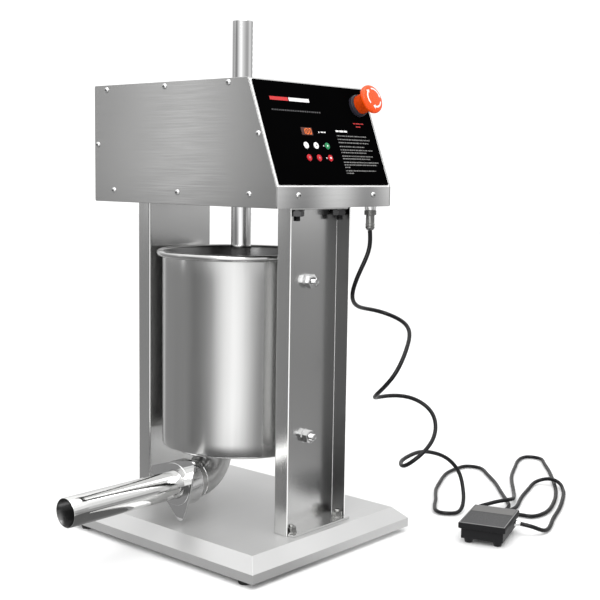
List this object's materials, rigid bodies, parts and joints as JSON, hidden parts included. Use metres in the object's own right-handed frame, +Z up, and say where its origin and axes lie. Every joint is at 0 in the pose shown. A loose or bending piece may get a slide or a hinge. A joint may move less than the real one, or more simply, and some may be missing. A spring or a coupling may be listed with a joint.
{
  "type": "electric sausage stuffer",
  "caption": "Upright electric meat filler: steel can between channel columns, rack-driven piston, outlet tube, control head and a wired foot pedal.",
  "frame": {"origin": "on the floor under the middle of the machine's box, the pedal and its lead left out", "axes": "+Z up, -Y towards the control panel, -X the way the filling tube points"},
  "size_m": [0.9656, 0.5227, 0.7206],
  "materials": {
    "brushed_stainless": "satin brushed",
    "polished_stainless": "mirror polished",
    "chrome": "bright plated",
    "machined_steel": "machined",
    "aluminium": "as cast",
    "motor_enamel": "semi-gloss enamel",
    "black_rubber": "matt",
    "black_plastic": "fine textured",
    "grey_plastic": "satin",
    "white_plastic": "satin",
    "red_plastic": "glossy",
    "green_plastic": "glossy",
    "panel_black": "high gloss film",
    "display_red": "tinted window",
    "circuit_green": "lacquered board"
  },
  "bodies": {
    "machine": {"base_plate": "brushed_stainless", "front_column": "brushed_stainless", "rear_column": "brushed_stainless", "head_shell": "brushed_stainless", "head_left_cover": "brushed_stainless", "head_right_cover": "brushed_stainless", "head_floor": "brushed_stainless", "cylinder": "polished_stainless", "cylinder_floor": "polished_stainless", "outlet_elbow": "polished_stainless", "filling_tube": "polished_stainless", "pedal_socket": "chrome", "pedal_plug": "chrome", "pedal_hinge_pin": "chrome", "pedal_gland": "chrome", "lower_pivot_pin_front": "chrome", "lower_pivot_pin_rear": "chrome", "upper_lock_bolt_front": "chrome", "upper_lock_bolt_rear": "chrome", "lower_pivot_nut_front": "chrome", "lower_pivot_nut_rear": "chrome", "upper_lock_nut_front": "chrome", "upper_lock_nut_rear": "chrome", "pinion_bearing_front": "machined_steel", "pinion_bearing_rear": "machined_steel", "pinion_bracket": "aluminium", "gear_head": "aluminium", "drive_motor": "motor_enamel", "foot_front_left": "black_rubber", "foot_front_right": "black_rubber", "foot_rear_left": "black_rubber", "foot_rear_right": "black_rubber", "pedal_cord": "black_rubber", "mains_inlet": "black_plastic", "pedal_base": "black_plastic", "estop_collar": "grey_plastic", "estop_contact_block": "grey_plastic", "pedal_switch": "grey_plastic", "lower_rod_bush": "white_plastic", "upper_rod_bush": "white_plastic", "outlet_gasket": "white_plastic", "panel_overlay": "panel_black", "display_window": "display_red", "control_board": "circuit_green"},
    "rack": {"rack_rod": "chrome", "piston_disc": "white_plastic", "piston_seal": "black_rubber", "piston_bolt": "chrome"},
    "pinion": {"pinion_shaft": "machined_steel"},
    "air_valve": {"air_valve": "chrome"},
    "estop_plunger": {"estop_plunger": "grey_plastic"},
    "estop_head": {"estop_mushroom": "red_plastic"},
    "wing_nut": {"tube_wing_nut": "chrome"},
    "treadle": {"pedal_treadle": "black_plastic"},
    "key_speed_down": {"key_speed_down": "white_plastic"},
    "key_speed_up": {"key_speed_up": "white_plastic"},
    "key_start": {"key_start": "green_plastic"},
    "key_fill": {"key_fill": "red_plastic"},
    "key_return": {"key_return": "red_plastic"},
    "key_stop": {"key_stop": "red_plastic"}
  },
  "joints": [
    {"name": "rack_slide", "type": "slide", "parent": "machine", "child": "rack", "axis": [0, 0, 1], "range_m": [-0.078, 0.195]},
    {"name": "pinion_turn", "type": "hinge", "parent": "machine", "child": "pinion", "pos_m": [0.0969, 0, 0.545], "axis": [0, 1, 0], "range_deg": [-299, 746]},
    {"name": "air_valve_lift", "type": "slide", "parent": "rack", "child": "air_valve", "axis": [0, 0, 1], "range_m": [0, 0.004]},
    {"name": "estop_press", "type": "slide", "parent": "machine", "child": "estop_plunger", "axis": [0, 0.9366, -0.3504], "range_m": [0, 0.005], "stiffness_N_per_m": 1500, "springref_m": -0.003},
    {"name": "estop_twist", "type": "hinge", "parent": "estop_plunger", "child": "estop_head", "pos_m": [0.15765, -0.15269, 0.611], "axis": [0, -0.9366, 0.3504], "range_deg": [-45, 0], "stiffness_Nm_per_rad": 0.06, "springref_deg": 11.46},
    {"name": "wing_nut_turn", "type": "hinge", "parent": "machine", "child": "wing_nut", "pos_m": [-0.05285, 0, 0.0907], "axis": [-1, 0, 0], "range_deg": [0, 120]},
    {"name": "pedal_press", "type": "hinge", "parent": "machine", "child": "treadle", "pos_m": [0.33067, -0.27088, 0.0235], "axis": [0.319, -0.9478, 0], "range_deg": [0, 2.4], "stiffness_Nm_per_rad": 20, "springref_deg": -3.44},
    {"name": "key_speed_down_press", "type": "slide", "parent": "machine", "child": "key_speed_down", "axis": [0, 0.9366, -0.3504], "range_m": [0, 0.0005], "stiffness_N_per_m": 1200, "springref_m": -0.0004},
    {"name": "key_speed_up_press", "type": "slide", "parent": "machine", "child": "key_speed_up", "axis": [0, 0.9366, -0.3504], "range_m": [0, 0.0005], "stiffness_N_per_m": 1200, "springref_m": -0.0004},
    {"name": "key_start_press", "type": "slide", "parent": "machine", "child": "key_start", "axis": [0, 0.9366, -0.3504], "range_m": [0, 0.0005], "stiffness_N_per_m": 1200, "springref_m": -0.0004},
    {"name": "key_fill_press", "type": "slide", "parent": "machine", "child": "key_fill", "axis": [0, 0.9366, -0.3504], "range_m": [0, 0.0005], "stiffness_N_per_m": 1200, "springref_m": -0.0004},
    {"name": "key_return_press", "type": "slide", "parent": "machine", "child": "key_return", "axis": [0, 0.9366, -0.3504], "range_m": [0, 0.0005], "stiffness_N_per_m": 1200, "springref_m": -0.0004},
    {"name": "key_stop_press", "type": "slide", "parent": "machine", "child": "key_stop", "axis": [0, 0.9366, -0.3504], "range_m": [0, 0.0005], "stiffness_N_per_m": 1200, "springref_m": -0.0004}
  ],
  "couplings": [
    {"joint": "pinion_turn", "follows": "rack_slide", "rad_per_m": 66.667}
  ]
}
